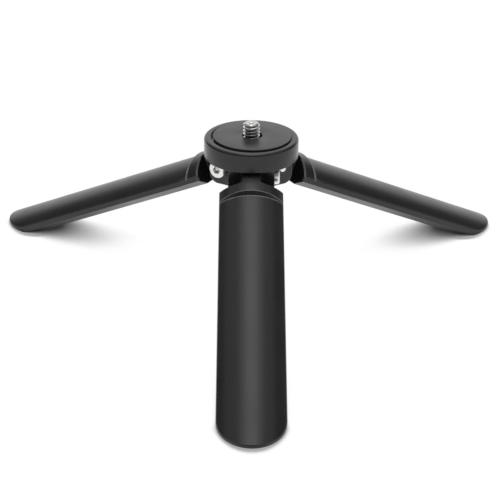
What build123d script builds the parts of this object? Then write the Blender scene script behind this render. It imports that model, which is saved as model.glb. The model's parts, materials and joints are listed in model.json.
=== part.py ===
from build123d import *
import os
from math import cos, radians, sin, sqrt, tan

os.makedirs("parts", exist_ok=True)

# Folding tabletop tripod: a round head with a camera screw, a forked hub and three hinged legs.
# Millimetres and degrees. The origin is on the screw's axis, on the pad's top face, with +Z up.

# Arrangement of the legs.
LEG_BEARINGS = {"front": 270.0, "left": 150.0, "right": 30.0}
SPLAY = 26.25  # slope of a spread leg below level
PIVOT_RADIUS = 9.0  # hinge pin to the head's axis

# Clearances.
RUN_GAP = 0.05  # round a pin or screw, and beside a washer
STOP_GAP = 0.1  # spread leg under the head
SLOT_GAP = 0.6  # behind a leg's hinge end
FOLD_GAP = 0.3  # between folded legs
PAD_GAP = 0.15  # round the rubber pieces

# Camera screw, the quarter inch standard.
STUD_DIAMETER = 6.35
STUD_HEIGHT = 5.0  # above the pad
STUD_NECK = 4.9  # thread relief inside the pad
STUD_FLANGE = 11.0  # clamps the head on the hub, under the pad
STUD_FLANGE_HEIGHT = 1.2
STUD_SHANK = 6.0  # part held in the hub
STUD_DEPTH = 14.0  # below the pad's top

# Round head and its anti-slip pad.
DISC_DIAMETER = 35.5
DISC_THICKNESS = 7.5
DISC_CHAMFER = 0.5
PAD_DIAMETER = 29.5
PAD_THICKNESS = 2.0
PAD_PROUD = 0.6  # pad above the head's rim
PAD_HOLE = 7.5
PAD_SHIFT = 0.35  # the pad is stuck down a little off centre

# Dowel that keeps the head from turning on the hub.
DOWEL_DIAMETER = 2.5
DOWEL_LENGTH = 8.0
DOWEL_COVER = 2.5  # head left above it
DOWEL_RADIUS = 6.8  # to the head's axis

# Hinges.
TONGUE_THICKNESS = 6.8
TONGUE_RADIUS = 4.2
WASHER_THICKNESS = 0.5
WASHER_DIAMETER = 7.6
EAR_WALL = 4.65
EAR_RADIUS = 6.5
PIVOT_SHOULDER = 4.0
PIVOT_THREAD = 3.0
PIVOT_HEAD = 6.8
PIVOT_HEAD_HEIGHT = 2.0
PIVOT_KEY = 2.5  # hex socket across its flats
PIVOT_KEY_DEPTH = 1.3

# Leg: heights are above the axis that the folded legs share, lengths run from the hinge pin.
LEG_WIDTH = 23.6
LEG_REACH = 117.6
LEG_CROWN = 14.4
CROWN_EASE = 4.2  # radius of the crown beyond half of the width
LEG_INNER = 4.5
TIP_LENGTH = 12.7  # the rounded end in plan
NOSE_HEIGHT = 1.45  # wall left at the tip above the sole
SHAFT_CHAMFER = 0.35  # round the crown's edges; leaves a groove at the collar
COLLAR_START = 8.6
COLLAR_LENGTH = 5.43
COLLAR_CROWN = 15.4
COLLAR_EASE = 2.6  # radius of the collar beyond half of the width
COLLAR_ROUND = 1.0
COLLAR_CHAMFER = 0.4
STEP_DRAFT = 45.0  # slope of the step behind the collar
TONGUE_FILLET = 0.8

# Rubber foot under each tip.
FOOT_DIAMETER = 15.0
FOOT_SETBACK = 3.2  # tip of the leg to the foot
FOOT_PROUD = 0.2
FOOT_DEPTH = 0.8  # sunk into the sole

# Places that follow from the sizes above.
RIM_Z = -PAD_PROUD
SEAT_Z = -PAD_THICKNESS
DISC_Z = RIM_Z - DISC_THICKNESS
PIVOT_Z = DISC_Z - STOP_GAP - TONGUE_RADIUS
HUB_Z = PIVOT_Z - EAR_RADIUS
SLOT_HALF = TONGUE_THICKNESS / 2 + WASHER_THICKNESS + RUN_GAP
ARM_HALF = SLOT_HALF + EAR_WALL
SLOT_START = PIVOT_RADIUS - TONGUE_RADIUS - SLOT_GAP
LEGS = len(LEG_BEARINGS)
SECTOR = 180.0 / LEGS  # half of the wedge that each folded leg fills
FLANGE_Z = SEAT_Z - STUD_FLANGE_HEIGHT
DOWEL_BEARING = LEG_BEARINGS["right"] + SECTOR
LEG_ARC = LEG_WIDTH / 2 + CROWN_EASE
COLLAR_ARC = LEG_WIDTH / 2 + COLLAR_EASE
BOTTOM = (Align.CENTER, Align.CENTER, Align.MIN)
TOP = (Align.CENTER, Align.CENTER, Align.MAX)

HINGE = Pos(PIVOT_RADIUS, 0, PIVOT_Z)
SPREAD = HINGE * Rot(0, SPLAY, 0) * Pos(0, 0, -PIVOT_RADIUS)


def rod_up(radius, low, high):
    """Round bar on the head's axis, from one height to another."""
    return Pos(0, 0, low) * Cylinder(radius, high - low, align=BOTTOM)


def rod_across(radius, start, end):
    """Round bar on a hinge's axis, between two places across the leg."""
    return HINGE * Pos(0, start, 0) * Rot(-90, 0, 0) * Cylinder(radius, end - start, align=BOTTOM)


def rod_along(radius, crown, start, end):
    """Round bar along a leg, with its highest line at the crown."""
    bar = Cylinder(radius, end - start, align=BOTTOM)
    return Pos(start, 0, crown - radius) * Rot(0, 90, 0) * bar


def hex_socket(across, depth):
    """Six-sided key recess that goes down from the origin."""
    return extrude(RegularPolygon(across / 2, 6, major_radius=False), -depth)


def flat_height(offset):
    """Height of a leg's folding flat at an offset from the leg's middle."""
    return (FOLD_GAP / 2 + offset * cos(radians(SECTOR))) / sin(radians(SECTOR))


def flat_offset(height):
    """Offset of a leg's folding flat at a height above the folded axis."""
    return (height * sin(radians(SECTOR)) - FOLD_GAP / 2) / cos(radians(SECTOR))


def leg_section(crown, arc, half):
    """Cross-section of a leg: two folding flats, side walls up to half its width and a round crown."""
    low = flat_height(half)
    inner = flat_offset(LEG_INNER)
    sides = Polygon(
        (-inner, LEG_INNER),
        (inner, LEG_INNER),
        (half, low),
        (half, crown),
        (-half, crown),
        (-half, low),
        align=None,
    )
    return sides & Pos(0, crown - arc) * Circle(arc)


def crown_chamfer():
    """Chamfer round a shaft's crown, at most half of the side wall below it."""
    half = LEG_WIDTH / 2
    wall = LEG_CROWN - LEG_ARC + sqrt(LEG_ARC**2 - half**2) - flat_height(half)
    return min(SHAFT_CHAMFER, wall / 2)


def shaft_plan(start):
    """Plan of a leg's shaft: straight sides and half an ellipse at the tip."""
    half = LEG_WIDTH / 2
    straight = LEG_REACH - TIP_LENGTH
    tip = EllipticalCenterArc((straight, 0), TIP_LENGTH, half, -90, arc_size=180)
    sides = Polyline((straight, half), (start, half), (start, -half), (straight, -half))
    return make_face([tip, sides])


def leg_shaft():
    """Plain length of a leg, with its tip rounded in plan and its side walls from the plan."""
    start = COLLAR_START + COLLAR_LENGTH
    section = leg_section(LEG_CROWN, LEG_ARC, LEG_ARC)
    bar = Pos(start, 0, 0) * extrude(Plane.YZ * section, LEG_REACH - start)
    shaft = bar & extrude(shaft_plan(start), COLLAR_CROWN)
    crown = shaft.faces().filter_by(GeomType.CYLINDER).sort_by(SortBy.AREA)[-1]
    return chamfer(crown.edges(), crown_chamfer())


def leg_collar():
    """Raised collar at the hinge end, which steps down to the shaft's chamfer on a steep cone."""
    section = leg_section(COLLAR_CROWN, COLLAR_ARC, LEG_WIDTH / 2)
    corners = section.vertices().sort_by(Axis.Y)[-2:]
    section = fillet(corners, COLLAR_ROUND)
    block = extrude(Plane.YZ * section, COLLAR_LENGTH)
    rim = block.edges().group_by(Axis.X)[0].sort_by(Axis.Z)[-3:]
    block = Pos(COLLAR_START, 0, 0) * chamfer(rim, COLLAR_CHAMFER)
    low = LEG_ARC - crown_chamfer()
    high = low + COLLAR_LENGTH / tan(radians(STEP_DRAFT))
    cone = Cone(high, low, COLLAR_LENGTH, align=BOTTOM)
    return block & Pos(COLLAR_START, 0, LEG_CROWN - LEG_ARC) * Rot(0, 90, 0) * cone


def tongue_plan(end):
    """Plan of a leg's tongue, flared at its root in the collar."""
    half = TONGUE_THICKNESS / 2
    plan = Pos((end - TONGUE_RADIUS) / 2, 0) * Rectangle(end + TONGUE_RADIUS, 2 * half)
    root_width = 2 * (half + 2 * TONGUE_FILLET)
    plan += Pos((COLLAR_START + end) / 2, 0) * Rectangle(end - COLLAR_START, root_width)
    roots = [
        corner
        for corner in plan.vertices()
        if abs(corner.X - COLLAR_START) < RUN_GAP and abs(corner.Y) < half + RUN_GAP
    ]
    return fillet(roots, TONGUE_FILLET)


def leg_tongue():
    """Hinge tongue: round about the pin, level on top where it meets the head, crowned beyond."""
    end = COLLAR_START + COLLAR_LENGTH / 2
    slope = radians(SPLAY)
    top_x = -TONGUE_RADIUS * sin(slope)
    top_z = PIVOT_RADIUS + TONGUE_RADIUS * cos(slope)
    profile = Polygon(
        (0, PIVOT_RADIUS),
        (0, PIVOT_RADIUS - TONGUE_RADIUS),
        (COLLAR_START, LEG_INNER),
        (end, LEG_INNER),
        (end, top_z + (end - top_x) * tan(slope)),
        (top_x, top_z),
        align=None,
    )
    profile += Pos(0, PIVOT_RADIUS) * Circle(TONGUE_RADIUS)
    plate = extrude(Plane.XZ * profile, TONGUE_THICKNESS, both=True)
    plate &= extrude(tongue_plan(end), 2 * COLLAR_CROWN)
    return plate & rod_along(COLLAR_ARC, COLLAR_CROWN, -TONGUE_RADIUS, end)


def sole_height():
    """Height of the flat sole under a spread leg's tip."""
    slope = radians(SPLAY)
    crown = PIVOT_Z - LEG_REACH * sin(slope) + (LEG_CROWN - PIVOT_RADIUS) * cos(slope)
    return crown - NOSE_HEIGHT * cos(slope)


def foot_middle():
    """Distance from the head's axis to the middle of a foot."""
    slope = radians(SPLAY)
    nose = LEG_CROWN - NOSE_HEIGHT - PIVOT_RADIUS
    tip = PIVOT_RADIUS + LEG_REACH * cos(slope) + nose * sin(slope)
    return tip - FOOT_SETBACK - FOOT_DIAMETER / 2


def foot_disc(radius):
    """Round slab on a foot's place, from the floor to the top of its pocket."""
    height = FOOT_PROUD + FOOT_DEPTH
    return Pos(foot_middle(), 0, sole_height() - FOOT_PROUD) * Cylinder(radius, height, align=BOTTOM)


def make_leg():
    """One leg, spread along +X."""
    leg = SPREAD * (leg_shaft() + leg_collar() + leg_tongue())
    below = Pos(foot_middle(), 0, sole_height()) * Box(LEG_REACH, LEG_WIDTH * 2, LEG_REACH, align=TOP)
    leg -= below
    leg -= foot_disc(FOOT_DIAMETER / 2 + PAD_GAP)
    return leg - rod_across(PIVOT_SHOULDER / 2 + RUN_GAP, -ARM_HALF, ARM_HALF)


def make_foot():
    """Rubber foot in the sole of a leg spread along +X."""
    return foot_disc(FOOT_DIAMETER / 2)


def make_pivot_screw():
    """Shoulder screw of the hinge along +X: head on the +Y side, thread flush with the other ear."""
    screw = rod_across(PIVOT_SHOULDER / 2, -SLOT_HALF, ARM_HALF)
    screw += rod_across(PIVOT_THREAD / 2, -ARM_HALF, -SLOT_HALF)
    outside = ARM_HALF + PIVOT_HEAD_HEIGHT
    screw += rod_across(PIVOT_HEAD / 2, ARM_HALF, outside)
    key = HINGE * Pos(0, outside, 0) * Rot(-90, 0, 0) * hex_socket(PIVOT_KEY, PIVOT_KEY_DEPTH)
    return screw - key


def make_washer(side):
    """Friction washer on one side of the tongue of the hinge along +X."""
    faces = sorted([side * SLOT_HALF, side * (SLOT_HALF - WASHER_THICKNESS)])
    ring = rod_across(WASHER_DIAMETER / 2, *faces)
    return ring - rod_across(PIVOT_SHOULDER / 2 + RUN_GAP, *faces)


def hub_arm():
    """One forked arm along +X, before its slot is cut."""
    reach = PIVOT_RADIUS + EAR_RADIUS
    profile = Pos(0, HUB_Z) * Rectangle(reach, DISC_Z - HUB_Z, align=Align.MIN)
    corner = profile.vertices().group_by(Axis.X)[-1].sort_by(Axis.Y)[0]
    return extrude(Plane.XZ * fillet(corner, EAR_RADIUS), ARM_HALF, both=True)


def hub_slot():
    """Space for a leg's tongue and washers in the arm along +X."""
    reach = PIVOT_RADIUS + EAR_RADIUS
    sides = (Align.MIN, Align.CENTER, Align.MIN)
    return Pos(SLOT_START, 0, HUB_Z) * Box(reach, 2 * SLOT_HALF, DISC_Z - HUB_Z, align=sides)


def make_hub():
    """Hub with a forked arm for each leg, bored for the pivots, the camera screw and the dowel."""
    hub = Part() + [Rot(0, 0, bearing) * hub_arm() for bearing in LEG_BEARINGS.values()]
    bores = rod_across(PIVOT_SHOULDER / 2 + RUN_GAP, 0, ARM_HALF)
    bores += rod_across(PIVOT_THREAD / 2 + RUN_GAP, -ARM_HALF, 0)
    cuts = hub_slot() + bores
    for bearing in LEG_BEARINGS.values():
        hub -= Rot(0, 0, bearing) * cuts
    hub -= rod_up(STUD_SHANK / 2 + RUN_GAP, HUB_Z, DISC_Z)
    return hub - dowel_rod(DOWEL_DIAMETER / 2 + RUN_GAP)


def dowel_rod(radius):
    """Upright bar on the dowel's place, half in the head and half in the hub."""
    top = SEAT_Z - DOWEL_COVER
    place = Rot(0, 0, DOWEL_BEARING) * Pos(DOWEL_RADIUS, 0, 0)
    return place * rod_up(radius, top - DOWEL_LENGTH, top)


def make_disc():
    """Round head with a shallow seat for the pad and a stepped hole for the camera screw."""
    disc = rod_up(DISC_DIAMETER / 2, DISC_Z, RIM_Z)
    disc = chamfer(disc.edges().group_by(Axis.Z)[-1], DISC_CHAMFER)
    disc -= rod_up(PAD_DIAMETER / 2 + PAD_SHIFT + PAD_GAP, SEAT_Z, RIM_Z)
    disc -= rod_up(STUD_FLANGE / 2 + RUN_GAP, FLANGE_Z, SEAT_Z)
    disc -= rod_up(STUD_SHANK / 2 + RUN_GAP, DISC_Z, FLANGE_Z)
    return disc - dowel_rod(DOWEL_DIAMETER / 2 + RUN_GAP)


def make_pad():
    """Round anti-slip pad with a hole for the camera screw."""
    pad = rod_up(PAD_DIAMETER / 2, SEAT_Z, 0) - rod_up(PAD_HOLE / 2, SEAT_Z, 0)
    return Pos(PAD_SHIFT, 0, 0) * pad


def make_stud():
    """Camera screw: full size above the pad, a relieved neck in it, a flange on the head and a shank."""
    stud = rod_up(STUD_DIAMETER / 2, 0, STUD_HEIGHT)
    stud += rod_up(STUD_NECK / 2, SEAT_Z, 0)
    stud += rod_up(STUD_FLANGE / 2, FLANGE_Z, SEAT_Z)
    return stud + rod_up(STUD_SHANK / 2, -STUD_DEPTH, FLANGE_Z)


def main():
    nodes = {
        "head_disc": make_disc(),
        "anti_slip_pad": make_pad(),
        "camera_screw": make_stud(),
        "hub": make_hub(),
        "dowel_pin": dowel_rod(DOWEL_DIAMETER / 2),
    }
    leg = make_leg()
    foot = make_foot()
    screw = make_pivot_screw()
    washers = {"a": make_washer(1), "b": make_washer(-1)}
    for name, bearing in LEG_BEARINGS.items():
        turn = Rot(0, 0, bearing)
        nodes[f"leg_{name}"] = turn * leg
        nodes[f"foot_pad_{name}"] = turn * foot
        nodes[f"pivot_screw_{name}"] = turn * screw
        for side, washer in washers.items():
            nodes[f"washer_{name}_{side}"] = turn * washer
    for name, shape in nodes.items():
        export_step(shape, f"parts/{name}.step")


main()
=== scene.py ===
import json
import math

import bmesh
import bpy
from mathutils import Matrix, Vector


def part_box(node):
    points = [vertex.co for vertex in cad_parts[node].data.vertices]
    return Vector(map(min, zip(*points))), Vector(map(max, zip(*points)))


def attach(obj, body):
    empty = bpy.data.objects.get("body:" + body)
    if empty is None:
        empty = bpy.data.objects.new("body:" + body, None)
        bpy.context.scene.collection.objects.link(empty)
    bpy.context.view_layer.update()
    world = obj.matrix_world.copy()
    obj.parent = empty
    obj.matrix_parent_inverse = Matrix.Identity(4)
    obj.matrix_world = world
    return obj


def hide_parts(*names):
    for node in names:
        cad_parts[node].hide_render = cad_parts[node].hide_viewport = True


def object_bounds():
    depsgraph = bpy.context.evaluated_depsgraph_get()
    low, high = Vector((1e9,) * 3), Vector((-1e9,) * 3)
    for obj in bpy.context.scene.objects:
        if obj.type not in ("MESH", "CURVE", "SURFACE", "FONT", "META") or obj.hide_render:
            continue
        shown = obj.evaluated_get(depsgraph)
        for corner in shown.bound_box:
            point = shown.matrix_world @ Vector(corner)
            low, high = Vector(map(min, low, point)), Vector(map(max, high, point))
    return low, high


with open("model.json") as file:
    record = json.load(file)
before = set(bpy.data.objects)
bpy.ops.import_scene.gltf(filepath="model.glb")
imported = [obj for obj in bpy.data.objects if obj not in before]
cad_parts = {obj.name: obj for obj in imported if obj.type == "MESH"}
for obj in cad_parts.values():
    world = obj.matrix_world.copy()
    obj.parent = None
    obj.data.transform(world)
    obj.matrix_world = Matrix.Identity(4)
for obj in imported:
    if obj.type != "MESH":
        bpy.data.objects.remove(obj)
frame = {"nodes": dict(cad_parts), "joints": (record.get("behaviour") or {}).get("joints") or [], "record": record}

for name in ("Cube", "Light", "Camera"):
    leftover = bpy.data.objects.get(name)
    if leftover:
        bpy.data.objects.remove(leftover)
CAD_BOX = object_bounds()

# Looks of a folding tabletop tripod, in metres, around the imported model.

MM = 0.001
NODES = frame["nodes"]
HEAD = "head"
UNTURNED = Matrix.Identity(4)

# Camera, as worked out from the photograph.
CAMERA_PLACE = (-0.00514, -0.48505, 0.19381)
CAMERA_ANGLES = (63.491, -0.577, -0.315)
CAMERA_LENS = 100.14
CAMERA_SENSOR = 36.0

# Floor.
FLOOR_SIZE = 6.0
FLOOR_CLEAR = 0.05 * MM  # below the feet
FLOOR_LEVEL = 0.85  # for the light that it throws back on the object
FLOOR_SHADE = (0.16, 0.30)  # the floor takes shadows inside, and is plain white outside
# Shadows on the floor: reach, lean towards the back in degrees, darkest level, and the open share
# of the sky that gives the darkest level and white.
SHADOWS = ((26 * MM, 0, 0.0, 0.14, 0.6), (4 * MM, 60, 0.38, 0.6, 0.8))
SHADOW_LEVEL = 0.03
SHADOW_SAMPLES = 16

# Light, and what the object mirrors.
SOFTBOX_HEIGHT = 1.2
SOFTBOX_LENGTH = 2.4
# Width, place along X and radiance of each layer.
SOFTBOX_LAYERS = ((0.55, 0.0, 0.8), (1.1, 0.0, 0.6), (3.4, -0.28, 0.36))
SOFTBOX_STEP = 0.02  # one layer above another
STUDIO_FILL = 0.55  # level of the light from all round
STUDIO_DARK = 0.15  # level of the studio's sides in a mirror
BACKDROP_EDGE = (0.62, 0.80)  # how far round from the back the white backdrop ends
PANEL_SIDE = (0.83, -0.40, 0.38)  # pale panel beside the camera, seen mirrored in the right leg
PANEL_LEVEL = 0.45
PANEL_EDGE = (0.76, 0.95)

# Black anodised aluminium.
GRAIN_SIZE = 0.3 * MM
GRAIN_SHARES = (0.75, 1.25)  # darkest and lightest, of the level
BLACK_TINT = 0.03
BLACK_PATCH = 14 * MM
BLACK_SWING = 0.03  # of the roughness, from patch to patch

# Lighter edges of the black pieces: part wear, and part painted highlight where the edges catch the light.
WEAR_AND_HIGHLIGHT_WIDTH = 0.3 * MM
WEAR_AND_HIGHLIGHT_TURN = (0.94, 0.996)  # cosine of the edge's turn at a fully lighter edge and at none
WEAR_AND_HIGHLIGHT_LEVEL = 0.3
WEAR_AND_HIGHLIGHT_LEAST = 0.06  # share of the wear and painted highlight outside the ring
WEAR_AND_HIGHLIGHT_FADE = 3 * MM
# Rings of edge wear and painted highlight, as distances from the origin.
COLLAR_WEAR_AND_HIGHLIGHT = (26 * MM, 32 * MM)  # the step behind a leg's collar
HUB_WEAR_AND_HIGHLIGHT = (0.0, 32 * MM)
NO_WEAR_OR_HIGHLIGHT = (1.0, 1.0)

# Rubber.
RUBBER_SHARES = (0.85, 1.12)  # darkest and lightest, of the level
RUBBER_PATCH = 6 * MM
RUBBER_SWING = 0.04
DUST_SHARE = 0.25
DUST_LEVEL = 1.3  # of the rubber's level

# Steel.
MARK_SIZE = 0.12 * MM
STEEL_PATCH = 1.2 * MM
STEEL_SWING = 0.04
STEEL_TINT = -0.015
STEEL_ROUNDING = 0.16 * MM
# Painted shade in grooves and recesses, from how much of the sky is open within the reach.
GROOVE_REACH = 0.6 * MM
GROOVE_SKY = (0.48, 0.8)  # open share of the sky under full painted shade in a groove, and on an unshaded face
GROOVE_SHADE_LEVEL = 0.02

# Nylon.
MOTTLE_SIZE = 0.5 * MM
NYLON_LEVELS = (0.012, 0.022)
NYLON_ROUGHNESS = (0.42, 0.55)

# Meshes.
SMOOTH_ANGLE = 38  # degrees; a sharper edge stays an edge
WELD = 0.001 * MM
CUT_LIMIT = 1e-9
LATHE_STEPS = 160
CORNER_STEPS = 5
SCREW_STEPS = 48

# Round head and pad, beside what the frame gives.
DISC_ROUND = 1.0 * MM
DISC_FOOT_ROUND = 0.3 * MM
DISC_BORE_RADIUS = 3.05 * MM
SEAT_ROUND = 0.15 * MM
PAD_SEAT = 2.0 * MM  # depth of the pad's seat under the pad's top
PAD_SEAT_RADIUS = 15.25 * MM
PAD_HOLE_RADIUS = 3.75 * MM
PAD_ROUND = 0.2 * MM
PAD_LOW_ROUND = 0.1 * MM
PAD_SKIN = 0.45 * MM  # top sheet of the pad, above its glue layer
PAD_UNDERCUT = 0.2 * MM

# Camera screw, the quarter inch standard with twenty turns to the inch.
THREAD_PITCH = 1.27 * MM
THREAD_DEPTH = 0.74 * MM
THREAD_LOW = -1.4 * MM
THREAD_STEPS = 64
THREAD_CREST = 0.14  # shares of one pitch
THREAD_ROOT = 0.22
THREAD_SPARE = (2, 1)  # turns made below and above, which the cuts at both ends take off
END_CHAMFER = 0.75 * MM
END_DISH = ((1.9 * MM, 0.0), (1.25 * MM, 0.27 * MM), (0.3 * MM, 0.27 * MM))  # radius and depth
END_CENTRE = 0.45 * MM  # depth of the turning centre
NECK_OVERLAP = 0.1 * MM  # of the neck and the thread
STUD_FLANGE_RADIUS = 5.5 * MM
STUD_FLANGE_TOP = -2.0 * MM
STUD_FLANGE_LOW = -3.2 * MM
STUD_FLANGE_GAP = 0.05 * MM  # to the head around it
STUD_SHANK_RADIUS = 3.0 * MM

# Screws on the hinges.
PIVOT_SHOULDER_RADIUS = 2.0 * MM
PIVOT_SHOULDER_END = 3.95 * MM
PIVOT_THREAD_RADIUS = 1.5 * MM
PIVOT_THREAD_CHAMFER = 0.3 * MM
PIVOT_HEAD_RADIUS = 3.4 * MM
PIVOT_HEAD_HEIGHT = 2.0 * MM
PIVOT_HEAD_RIM = 1.1 * MM  # straight edge below the dome
PIVOT_FACE_RADIUS = 2.55 * MM
PIVOT_DOME_STEPS = 8
KEY_SIDES = 6
KEY_ACROSS = 2.5 * MM
KEY_DEPTH = 1.3 * MM
KEY_CHAMFER = 0.15 * MM
KEY_POINT = 0.5 * MM

# Hub's arms, which end nearer to the head's axis in the photograph than in the solid.
ARM_END = 12.9 * MM  # from the head's axis
ARM_LOW = -18.6 * MM
ARM_ROUND = 3.5 * MM
ARM_STEPS = 16
CUT_SPARE = 4 * MM  # cutters beyond the hub


def add(tree, kind, sockets=None, **settings):
    """Adds a shader node; sockets maps its inputs to values or to other nodes' outputs."""
    node = tree.nodes.new("ShaderNode" + kind)
    for name, value in settings.items():
        setattr(node, name, value)
    for key, value in (sockets or {}).items():
        if isinstance(value, bpy.types.NodeSocket):
            tree.links.new(value, node.inputs[key])
        else:
            node.inputs[key].default_value = value
    return node


def grey(level, tint=0.0):
    """Neutral colour, a little cooler for a positive tint."""
    return (level * (1 - tint), level, level * (1 + tint), 1.0)


def new_material(name):
    """Empty node material, its tree and the place on the object."""
    material = bpy.data.materials.new(name)
    material.use_nodes = True
    tree = material.node_tree
    tree.nodes.clear()
    return material, tree, add(tree, "TexCoord").outputs["Object"]


def noise(tree, place, size, detail=2.0):
    """Noise with features of about the given size in metres."""
    sockets = {"Vector": place, "Scale": 1 / size, "Detail": detail}
    return add(tree, "TexNoise", sockets).outputs["Fac"]


def remap(tree, value, low, high, start=0.35, end=0.65):
    """Value stretched from start and end, by default the middle of noise, to a new low and high."""
    sockets = {"Value": value, 1: start, 2: end, 3: low, 4: high}
    return add(tree, "MapRange", sockets).outputs["Result"]


def mix(tree, factor, first, second):
    """Blend of two colours."""
    sockets = {"Factor": factor, 6: first, 7: second}
    return add(tree, "Mix", sockets, data_type="RGBA").outputs[2]


def combine(tree, operation, first, second):
    """One number from two."""
    return add(tree, "Math", {0: first, 1: second}, operation=operation).outputs[0]


def measure(tree, operation, *vectors):
    """One number from vectors, such as a length or a dot product."""
    return add(tree, "VectorMath", dict(enumerate(vectors)), operation=operation).outputs["Value"]


def open_sky(tree, reach, samples, sockets=None, **settings):
    """Share of the directions from a surface that nothing blocks within reach."""
    sockets = {"Distance": reach, **(sockets or {})}
    return add(tree, "AmbientOcclusion", sockets, samples=samples, **settings).outputs["AO"]


def soft_edges(tree, radius, samples=4):
    """Direction of the surface, with its edges rounded."""
    return add(tree, "Bevel", {"Radius": radius}, samples=samples).outputs["Normal"]


def edge_share(tree, radius):
    """One on a sharp edge and nought on a flat, from how far rounding would turn the surface."""
    flat = add(tree, "NewGeometry").outputs["Normal"]
    turn = measure(tree, "DOT_PRODUCT", soft_edges(tree, radius), flat)
    return remap(tree, turn, 1.0, 0.0, *WEAR_AND_HIGHLIGHT_TURN)


def finish_material(tree, shader):
    output = tree.nodes.new("ShaderNodeOutputMaterial")
    tree.links.new(shader.outputs[0], output.inputs["Surface"])


def finish_surface(tree, colour, roughness, bump=None, **sockets):
    """Closes a material with a principled shader; bump holds the inputs of a bump node."""
    sockets.update({"Base Color": colour, "Roughness": roughness})
    if bump:
        sockets["Normal"] = add(tree, "Bump", bump).outputs["Normal"]
    finish_material(tree, add(tree, "BsdfPrincipled", sockets))


def black_anodised(name, level, roughness, rounding, wear_and_highlight_ring):
    """Black anodised aluminium with a fine blasted grain and softened edges.

    The edges are made lighter, as wear and as a painted highlight, fully between two distances from the origin,
    and a little elsewhere.
    """
    material, tree, place = new_material(name)
    grain = noise(tree, place, GRAIN_SIZE)
    patch = noise(tree, place, BLACK_PATCH, detail=3.0)
    away = measure(tree, "LENGTH", place)
    beyond = remap(tree, away, WEAR_AND_HIGHLIGHT_LEAST, 1.0, wear_and_highlight_ring[0] - WEAR_AND_HIGHLIGHT_FADE, wear_and_highlight_ring[0])
    within = remap(tree, away, 1.0, WEAR_AND_HIGHLIGHT_LEAST, wear_and_highlight_ring[1], wear_and_highlight_ring[1] + WEAR_AND_HIGHLIGHT_FADE)
    wear_and_highlight_share = combine(tree, "MINIMUM", beyond, within)
    # lighter edges: wear, plus a painted highlight where the edges catch the light
    wear_and_highlight = combine(tree, "MULTIPLY", edge_share(tree, WEAR_AND_HIGHLIGHT_WIDTH), wear_and_highlight_share)
    dark, light = (grey(level * share, BLACK_TINT) for share in GRAIN_SHARES)
    body = mix(tree, remap(tree, grain, 0, 1), dark, light)
    finish_surface(
        tree,
        mix(tree, wear_and_highlight, body, grey(WEAR_AND_HIGHLIGHT_LEVEL)),
        remap(tree, patch, roughness - BLACK_SWING, roughness + BLACK_SWING),
        bump={
            "Strength": 0.16,
            "Distance": 0.02 * MM,
            "Height": grain,
            "Normal": soft_edges(tree, rounding),
        },
        IOR=1.5,
    )
    return material


def rubber(name, level, grain_size, roughness):
    """Matte rubber with a fine moulded grain and faint dusty patches."""
    material, tree, place = new_material(name)
    grain = noise(tree, place, grain_size, detail=3.0)
    patch = noise(tree, place, RUBBER_PATCH, detail=4.0)
    dark, light = (grey(level * share) for share in RUBBER_SHARES)
    body = mix(tree, remap(tree, grain, 0, 1), dark, light)
    finish_surface(
        tree,
        mix(tree, remap(tree, patch, 0, DUST_SHARE), body, grey(level * DUST_LEVEL)),
        remap(tree, patch, roughness - RUBBER_SWING, roughness + RUBBER_SWING),
        bump={"Strength": 0.15, "Distance": 0.02 * MM, "Height": grain},
    )
    return material


def bright_steel(name, dull, clear, roughness):
    """Plated steel with turning marks, duller patches, soft edges, and painted shade darkening its grooves and
    recesses.
    """
    material, tree, place = new_material(name)
    marks = noise(tree, place, MARK_SIZE, detail=1.0)
    patch = noise(tree, place, STEEL_PATCH, detail=3.0)
    sky = open_sky(tree, GROOVE_REACH, samples=8, only_local=True)
    unshaded_steel = mix(tree, remap(tree, patch, 0, 1), grey(dull), grey(clear, STEEL_TINT))
    finish_surface(
        tree,
        # painted shade: darker where grooves and recesses close off the sky
        mix(tree, remap(tree, sky, 0, 1, *GROOVE_SKY), grey(GROOVE_SHADE_LEVEL), unshaded_steel),
        remap(tree, patch, roughness - STEEL_SWING, roughness + STEEL_SWING),
        bump={
            "Strength": 0.05,
            "Distance": 0.01 * MM,
            "Height": marks,
            "Normal": soft_edges(tree, STEEL_ROUNDING, samples=8),
        },
        Metallic=1.0,
    )
    return material


def nylon(name):
    """Black nylon with a faint mottle."""
    material, tree, place = new_material(name)
    mottle = noise(tree, place, MOTTLE_SIZE, detail=3.0)
    dark, light = (grey(level) for level in NYLON_LEVELS)
    colour = mix(tree, remap(tree, mottle, 0, 1), dark, light)
    finish_surface(tree, colour, remap(tree, mottle, *NYLON_ROUGHNESS))
    return material


LOOKS = {
    "black_anodised": black_anodised(
        "blasted_black_looks", level=0.008, roughness=0.29, rounding=0.2 * MM, wear_and_highlight_ring=COLLAR_WEAR_AND_HIGHLIGHT
    ),
    "turned_black": black_anodised(
        "turned_black_looks", level=0.007, roughness=0.2, rounding=0.05 * MM, wear_and_highlight_ring=NO_WEAR_OR_HIGHLIGHT
    ),
    "hub_black": black_anodised(
        "hub_black_looks", level=0.014, roughness=0.26, rounding=0.25 * MM, wear_and_highlight_ring=HUB_WEAR_AND_HIGHLIGHT
    ),
    "rubber_pad": rubber("rubber_pad_looks", level=0.022, grain_size=0.2 * MM, roughness=0.36),
    "rubber_foot": rubber("rubber_foot_looks", level=0.016, grain_size=0.3 * MM, roughness=0.7),
    "bright_steel": bright_steel("bright_steel_looks", dull=0.50, clear=0.67, roughness=0.14),
    "satin_steel": bright_steel("satin_steel_looks", dull=0.76, clear=0.9, roughness=0.34),
    "nylon": nylon("nylon_looks"),
}


def dress_nodes():
    """Gives each CAD node the looks of its slot in the record."""
    for part in frame["record"]["subparts"]:
        NODES[part["node"]].data.materials[0] = LOOKS[part["material_slot"]]


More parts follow.
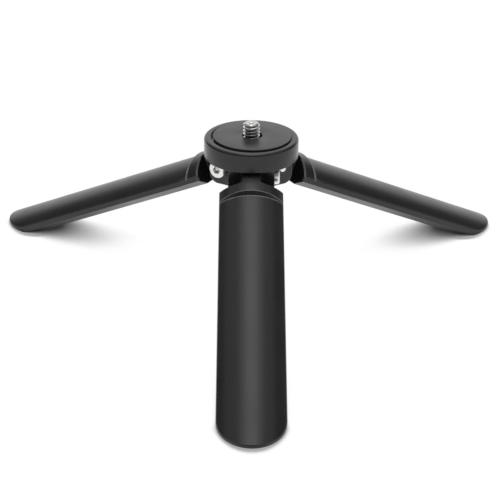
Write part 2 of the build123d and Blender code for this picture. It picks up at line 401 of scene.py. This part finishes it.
def to_data(name, mesh, turn=UNTURNED):
    """Mesh data from a closed bmesh, which is freed."""
    bmesh.ops.recalc_face_normals(mesh, faces=mesh.faces)
    data = bpy.data.meshes.new(name)
    mesh.to_mesh(data)
    mesh.free()
    data.transform(turn)
    return data


def make_piece(name, mesh, slot, node, turn=UNTURNED, looks=None):
    """Puts a bmesh in the scene in place of a CAD node, riding on the head."""
    data = to_data(name, mesh, turn)
    data.shade_smooth()
    data.set_sharp_from_angle(angle=math.radians(SMOOTH_ANGLE))
    data.materials.append(LOOKS[looks or slot])
    piece = bpy.data.objects.new(name, data)
    bpy.context.scene.collection.objects.link(piece)
    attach(piece, HEAD)
    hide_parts(node)


class Rings:
    """Closed skin built from rings of points round Z, one after another."""

    def __init__(self, steps):
        self.mesh = bmesh.new()
        self.steps = steps
        self.last = None

    def ring(self, radius, height, sides=0):
        """Next ring: a circle, or a polygon with that radius to its flats."""
        points = []
        for step in range(self.steps):
            angle = math.tau * step / self.steps
            reach = radius
            if sides:
                wedge = math.tau / sides
                reach = radius / math.cos((angle % wedge) - wedge / 2)
            place = (reach * math.cos(angle), reach * math.sin(angle), height)
            points.append(self.mesh.verts.new(place))
        if self.last:
            self.join(points)
        self.last = points
        return points

    def join(self, points):
        """Strip of faces from the last ring to these points."""
        for step in range(self.steps):
            after = (step + 1) % self.steps
            self.mesh.faces.new((self.last[step], self.last[after], points[after], points[step]))

    def tip(self, height):
        """Closes the skin with a point on the axis, as its start or its end."""
        point = self.mesh.verts.new((0, 0, height))
        for step in range(self.steps):
            after = (step + 1) % self.steps
            self.mesh.faces.new((self.last[step], self.last[after], point))

    def bar(self, corners):
        """Closed start of the skin and a ring at each corner, a radius and a height."""
        for index, (radius, height) in enumerate(corners):
            self.ring(radius, height)
            if index == 0:
                self.tip(height)


def rounded(corners):
    """Outline with its corners rounded; each corner is (radius from axis, height, rounding)."""
    points = []
    for i, (r, z, size) in enumerate(corners):
        corner = Vector((r, z))
        if not size:
            points.append(corner)
            continue
        before = (Vector(corners[i - 1][:2]) - corner).normalized()
        after = (Vector(corners[(i + 1) % len(corners)][:2]) - corner).normalized()
        half = before.angle(after) / 2
        centre = corner + (before + after).normalized() * (size / math.sin(half))
        start = corner + before * (size / math.tan(half)) - centre
        end = corner + after * (size / math.tan(half)) - centre
        sweep = start.angle_signed(end)
        for step in range(CORNER_STEPS + 1):
            turned = start.copy()
            turned.rotate(Matrix.Rotation(-sweep * step / CORNER_STEPS, 2))
            points.append(centre + turned)
    return points


def lathe(corners):
    """Ring-shaped mesh turned from a closed outline."""
    skin = Rings(LATHE_STEPS)
    rings = [skin.ring(point.x, point.y) for point in rounded(corners)]
    skin.join(rings[0])
    return skin.mesh


def make_disc():
    """Round head with softly rounded edges and a seat for the pad."""
    low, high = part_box("head_disc")
    radius = high.x
    seat = -PAD_SEAT
    flange = STUD_FLANGE_RADIUS + STUD_FLANGE_GAP
    corners = [
        (DISC_BORE_RADIUS, low.z, 0),
        (radius, low.z, DISC_FOOT_ROUND),
        (radius, high.z, DISC_ROUND),
        (PAD_SEAT_RADIUS, high.z, SEAT_ROUND),
        (PAD_SEAT_RADIUS, seat, 0),
        (flange, seat, 0),
        (flange, STUD_FLANGE_LOW, 0),
        (DISC_BORE_RADIUS, STUD_FLANGE_LOW, 0),
    ]
    make_piece("turned_head", lathe(corners), "black_anodised", "head_disc", looks="turned_black")


def make_pad():
    """Anti-slip pad: a sheet with a softened edge on a slightly smaller glue layer."""
    low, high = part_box("anti_slip_pad")
    radius = (high.x - low.x) / 2
    inner = radius - PAD_UNDERCUT
    corners = [
        (PAD_HOLE_RADIUS, low.z, 0),
        (inner, low.z, 0),
        (inner, high.z - PAD_SKIN, 0),
        (radius, high.z - PAD_SKIN, PAD_LOW_ROUND),
        (radius, high.z, PAD_ROUND),
        (PAD_HOLE_RADIUS, high.z, PAD_ROUND),
    ]
    shift = Matrix.Translation(((high.x + low.x) / 2, 0, 0))
    make_piece("pad_sheet", lathe(corners), "rubber_pad", "anti_slip_pad", shift)


def thread_profile(radius):
    """Share of a pitch and radius at each corner of one turn of a thread."""
    flank = (1 - THREAD_CREST - THREAD_ROOT) / 2
    middle = radius - THREAD_DEPTH / 2
    root = radius - THREAD_DEPTH
    return [
        (0.0, radius),
        (THREAD_CREST, radius),
        (THREAD_CREST + flank / 2, middle),
        (THREAD_CREST + flank, root),
        (THREAD_CREST + flank + THREAD_ROOT, root),
        (1 - flank / 2, middle),
    ]


def close_end(part, rim, height, dish, centre):
    """Closes the end of a bar from its rim inwards, through the rings of a dish to a point."""
    for radius, depth in dish:
        grown = bmesh.ops.extrude_edge_only(part, edges=rim)["geom"]
        rim = [item for item in grown if isinstance(item, bmesh.types.BMEdge) and item.is_boundary]
        for vertex in {corner for edge in rim for corner in edge.verts}:
            vertex.co.xy *= radius / vertex.co.xy.length
            vertex.co.z = height - depth
    cap = bmesh.ops.edgeloop_fill(part, edges=rim)
    for vertex in bmesh.ops.poke(part, faces=cap["faces"])["verts"]:
        vertex.co.z = height - centre


def add_thread(mesh, radius, high):
    """Adds a closed threaded bar along Z, with its upper end chamfered and dished."""
    below, above = THREAD_SPARE
    turns = math.ceil((high - THREAD_LOW) / THREAD_PITCH) + below + above
    rows = []
    for turn in range(turns):
        for share, reach in thread_profile(radius):
            row = []
            for step in range(THREAD_STEPS + 1):
                z = THREAD_LOW + (turn + share + step / THREAD_STEPS - below) * THREAD_PITCH
                angle = math.tau * step / THREAD_STEPS
                r = min(reach, radius - END_CHAMFER + max(high - z, 0))
                row.append((r * math.cos(angle), r * math.sin(angle), z))
            rows.append(row)
    part = bmesh.new()
    points = [[part.verts.new(place) for place in row] for row in rows]
    for lower, upper in zip(points, points[1:]):
        for step in range(THREAD_STEPS):
            part.faces.new((lower[step], lower[step + 1], upper[step + 1], upper[step]))
    bmesh.ops.remove_doubles(part, verts=part.verts, dist=WELD)
    for height, side, dish, centre in ((high, 1, END_DISH, END_CENTRE), (THREAD_LOW, -1, (), 0.0)):
        cut = bmesh.ops.bisect_plane(
            part,
            geom=part.verts[:] + part.edges[:] + part.faces[:],
            dist=CUT_LIMIT,
            plane_co=(0, 0, height),
            plane_no=(0, 0, side),
            clear_outer=True,
        )
        rim = [edge for edge in cut["geom_cut"] if isinstance(edge, bmesh.types.BMEdge)]
        close_end(part, rim, height, dish, centre)
    spare = to_data("thread", part)
    mesh.from_mesh(spare)
    bpy.data.meshes.remove(spare)


def make_stud():
    """Camera screw with its thread, a neck in the pad, a flange on the head and a shank."""
    low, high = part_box("camera_screw")
    mount = next(m for m in frame["record"]["mounts"] if m["name"] == "camera_screw")
    radius = mount["dims"]["r_mm"] * MM
    neck = radius - THREAD_DEPTH
    neck_top = THREAD_LOW + NECK_OVERLAP
    skin = Rings(SCREW_STEPS)
    skin.bar([
        (STUD_SHANK_RADIUS, low.z),
        (STUD_SHANK_RADIUS, STUD_FLANGE_LOW),
        (STUD_FLANGE_RADIUS, STUD_FLANGE_LOW),
        (STUD_FLANGE_RADIUS, STUD_FLANGE_TOP),
        (neck, STUD_FLANGE_TOP),
        (neck, neck_top),
    ])
    skin.tip(neck_top)
    add_thread(skin.mesh, radius, high.z)
    make_piece("camera_screw_threaded", skin.mesh, "bright_steel", "camera_screw")


def pivot_mesh(arm, end):
    """Shoulder screw along Z from its threaded end to its domed socket head."""
    skin = Rings(SCREW_STEPS)
    skin.bar([
        (PIVOT_THREAD_RADIUS - PIVOT_THREAD_CHAMFER, end),
        (PIVOT_THREAD_RADIUS, end + PIVOT_THREAD_CHAMFER),
        (PIVOT_THREAD_RADIUS, -PIVOT_SHOULDER_END),
        (PIVOT_SHOULDER_RADIUS, -PIVOT_SHOULDER_END),
        (PIVOT_SHOULDER_RADIUS, arm),
        (PIVOT_HEAD_RADIUS, arm),
        (PIVOT_HEAD_RADIUS, arm + PIVOT_HEAD_RIM),
    ])
    rise = PIVOT_HEAD_HEIGHT - PIVOT_HEAD_RIM
    run = PIVOT_HEAD_RADIUS - PIVOT_FACE_RADIUS
    for step in range(1, PIVOT_DOME_STEPS + 1):
        angle = math.pi / 2 * step / PIVOT_DOME_STEPS
        height = arm + PIVOT_HEAD_RIM + rise * math.sin(angle)
        skin.ring(PIVOT_FACE_RADIUS + run * math.cos(angle), height)
    face = arm + PIVOT_HEAD_HEIGHT
    key = KEY_ACROSS / 2
    skin.ring(key + KEY_CHAMFER, face, KEY_SIDES)
    skin.ring(key, face - KEY_CHAMFER, KEY_SIDES)
    skin.ring(key, face - KEY_DEPTH, KEY_SIDES)
    skin.tip(face - KEY_DEPTH - KEY_POINT)
    return skin.mesh


def make_pivot_screws():
    """One shoulder screw on each hinge's axis."""
    for joint in frame["joints"]:
        leg = joint["child"].removeprefix("leg_")
        node = "pivot_screw_" + leg
        axis = Vector(joint["axis"])
        place = Vector(joint["pos_m"])
        along = [(vertex.co - place).dot(axis) for vertex in NODES[node].data.vertices]
        mesh = pivot_mesh(max(along) - PIVOT_HEAD_HEIGHT, min(along))
        turn = Matrix.Translation(place) @ axis.to_track_quat("Z", "Y").to_matrix().to_4x4()
        make_piece("hinge_screw_" + leg, mesh, "bright_steel", node, turn, looks="satin_steel")


def prism(name, outline, half, turn=UNTURNED):
    """Closed bar across Y from an outline in X and Z, turned into its place."""
    mesh = bmesh.new()
    near, far = ([mesh.verts.new((x, y, z)) for x, z in outline] for y in (-half, half))
    mesh.faces.new(near)
    mesh.faces.new(far)
    for i, corner in enumerate(near):
        mesh.faces.new((near[i - 1], corner, far[i], far[i - 1]))
    return to_data(name, mesh, turn)


def hub_cutters():
    """What is taken off the hub: a sheet from its underside, and the end of each arm."""
    low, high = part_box("hub")
    top, below = high.z + CUT_SPARE, low.z - CUT_SPARE
    out = high.x + CUT_SPARE
    sheet = [(-out, below), (out, below), (out, ARM_LOW), (-out, ARM_LOW)]
    cutters = [prism("sheet_cutter", sheet, out)]
    end = [(out, below), (out, top), (ARM_END, top)]
    for step in range(ARM_STEPS + 1):
        angle = math.pi / 2 * step / ARM_STEPS
        x = ARM_END - ARM_ROUND + ARM_ROUND * math.cos(angle)
        end.append((x, ARM_LOW + ARM_ROUND - ARM_ROUND * math.sin(angle)))
    end.append((ARM_END - ARM_ROUND, below))
    for joint in frame["joints"]:
        place = Vector(joint["pos_m"])
        turn = Matrix.Rotation(math.atan2(place.y, place.x), 4, "Z")
        cutters.append(prism("arm_cutter", end, out / 2, turn))
    return cutters


def make_hub():
    """Forked hub with its arms cut back and rounded, from a copy of the solid's mesh."""
    mesh = bmesh.new()
    mesh.from_mesh(NODES["hub"].data)
    bmesh.ops.remove_doubles(mesh, verts=mesh.verts, dist=WELD)
    meshes = [to_data("hub_blank", mesh)] + hub_cutters()
    blank, *tools = [bpy.data.objects.new(data.name, data) for data in meshes]
    for item in (blank, *tools):
        bpy.context.scene.collection.objects.link(item)
    for tool in tools:
        cut = blank.modifiers.new(tool.name, "BOOLEAN")
        cut.operation = "DIFFERENCE"
        cut.solver = "EXACT"
        cut.object = tool
    done = blank.evaluated_get(bpy.context.evaluated_depsgraph_get())
    mesh = bmesh.new()
    mesh.from_mesh(done.to_mesh())
    for item in (blank, *tools):
        bpy.data.objects.remove(item)
    make_piece("forked_hub", mesh, "black_anodised", "hub", looks="hub_black")


def make_floor():
    """Pale floor that takes shadows near the object and is plain white further out."""
    low = CAD_BOX[0].z - FLOOR_CLEAR
    bpy.ops.mesh.primitive_plane_add(size=FLOOR_SIZE, location=(0, 0, low))
    floor = bpy.context.object
    floor.name = "studio_floor"
    material, tree, place = new_material("floor_looks")
    edge = {"Value": measure(tree, "LENGTH", place), 1: FLOOR_SHADE[0], 2: FLOOR_SHADE[1]}
    far = add(tree, "MapRange", edge, interpolation_type="SMOOTHSTEP").outputs["Result"]
    shade = 1.0
    for reach, lean, darkest, black, white in SHADOWS:
        angle = math.radians(lean)
        up = add(tree, "CombineXYZ", {"Y": math.sin(angle), "Z": math.cos(angle)}).outputs[0]
        sky = open_sky(tree, reach, SHADOW_SAMPLES, {"Normal": up})
        layer = remap(tree, sky, darkest, 1.0, black, white)
        shade = combine(tree, "MINIMUM", shade, layer)
    near = mix(tree, shade, grey(SHADOW_LEVEL), grey(1.0))
    seen = mix(tree, far, near, grey(1.0))
    lit = add(tree, "BsdfDiffuse", {"Color": grey(FLOOR_LEVEL)})
    glow = add(tree, "Emission", {"Color": seen, "Strength": 1.0})
    path = add(tree, "LightPath").outputs
    mirrored = combine(tree, "MAXIMUM", path["Is Glossy Ray"], path["Is Transmission Ray"])
    shown = combine(tree, "MAXIMUM", path["Is Camera Ray"], mirrored)
    blend = add(tree, "MixShader", {0: shown, 1: lit.outputs[0], 2: glow.outputs[0]})
    finish_material(tree, blend)
    floor.data.materials.append(material)


def make_world():
    """White to the camera, a backdrop with dim sides in a mirror, and an even fill otherwise."""
    world = bpy.data.worlds.new("studio")
    bpy.context.scene.world = world
    world.use_nodes = True
    tree = world.node_tree
    tree.nodes.clear()
    side = add(tree, "TexCoord").outputs["Generated"]
    back = add(tree, "SeparateXYZ", {0: side}).outputs["Y"]
    lit = remap(tree, back, 0.0, 1.0, *BACKDROP_EDGE)
    towards = measure(tree, "DOT_PRODUCT", side, PANEL_SIDE)
    dark = remap(tree, towards, STUDIO_DARK, PANEL_LEVEL, *PANEL_EDGE)
    mirrored = mix(tree, lit, dark, grey(1.0))
    path = add(tree, "LightPath").outputs
    studio = mix(tree, path["Is Glossy Ray"], grey(STUDIO_FILL), mirrored)
    clear = combine(tree, "MAXIMUM", path["Is Camera Ray"], path["Is Transmission Ray"])
    colour = mix(tree, clear, studio, grey(1.0))
    background = add(tree, "Background", {"Color": colour, "Strength": 1.0})
    output = tree.nodes.new("ShaderNodeOutputWorld")
    tree.links.new(background.outputs[0], output.inputs["Surface"])


def make_softbox():
    """Large soft light overhead, in layers that make it fade towards its sides."""
    for layer, (width, place, radiance) in enumerate(SOFTBOX_LAYERS):
        data = bpy.data.lights.new("softbox", "AREA")
        data.shape = "RECTANGLE"
        data.size = width
        data.size_y = SOFTBOX_LENGTH
        data.energy = radiance * math.pi * width * SOFTBOX_LENGTH
        lamp = bpy.data.objects.new("softbox", data)
        lamp.location = (place, 0, SOFTBOX_HEIGHT + layer * SOFTBOX_STEP)
        lamp.visible_camera = False
        bpy.context.scene.collection.objects.link(lamp)


def make_camera():
    """Camera at the photograph's viewing angle."""
    data = bpy.data.cameras.new("camera")
    data.lens = CAMERA_LENS
    data.sensor_width = CAMERA_SENSOR
    camera = bpy.data.objects.new("camera", data)
    camera.location = CAMERA_PLACE
    camera.rotation_euler = [math.radians(angle) for angle in CAMERA_ANGLES]
    bpy.context.scene.collection.objects.link(camera)
    bpy.context.scene.camera = camera


dress_nodes()
make_disc()
make_pad()
make_stud()
make_pivot_screws()
make_hub()
make_floor()
make_world()
make_softbox()
make_camera()
bpy.context.scene.view_settings.view_transform = "Standard"
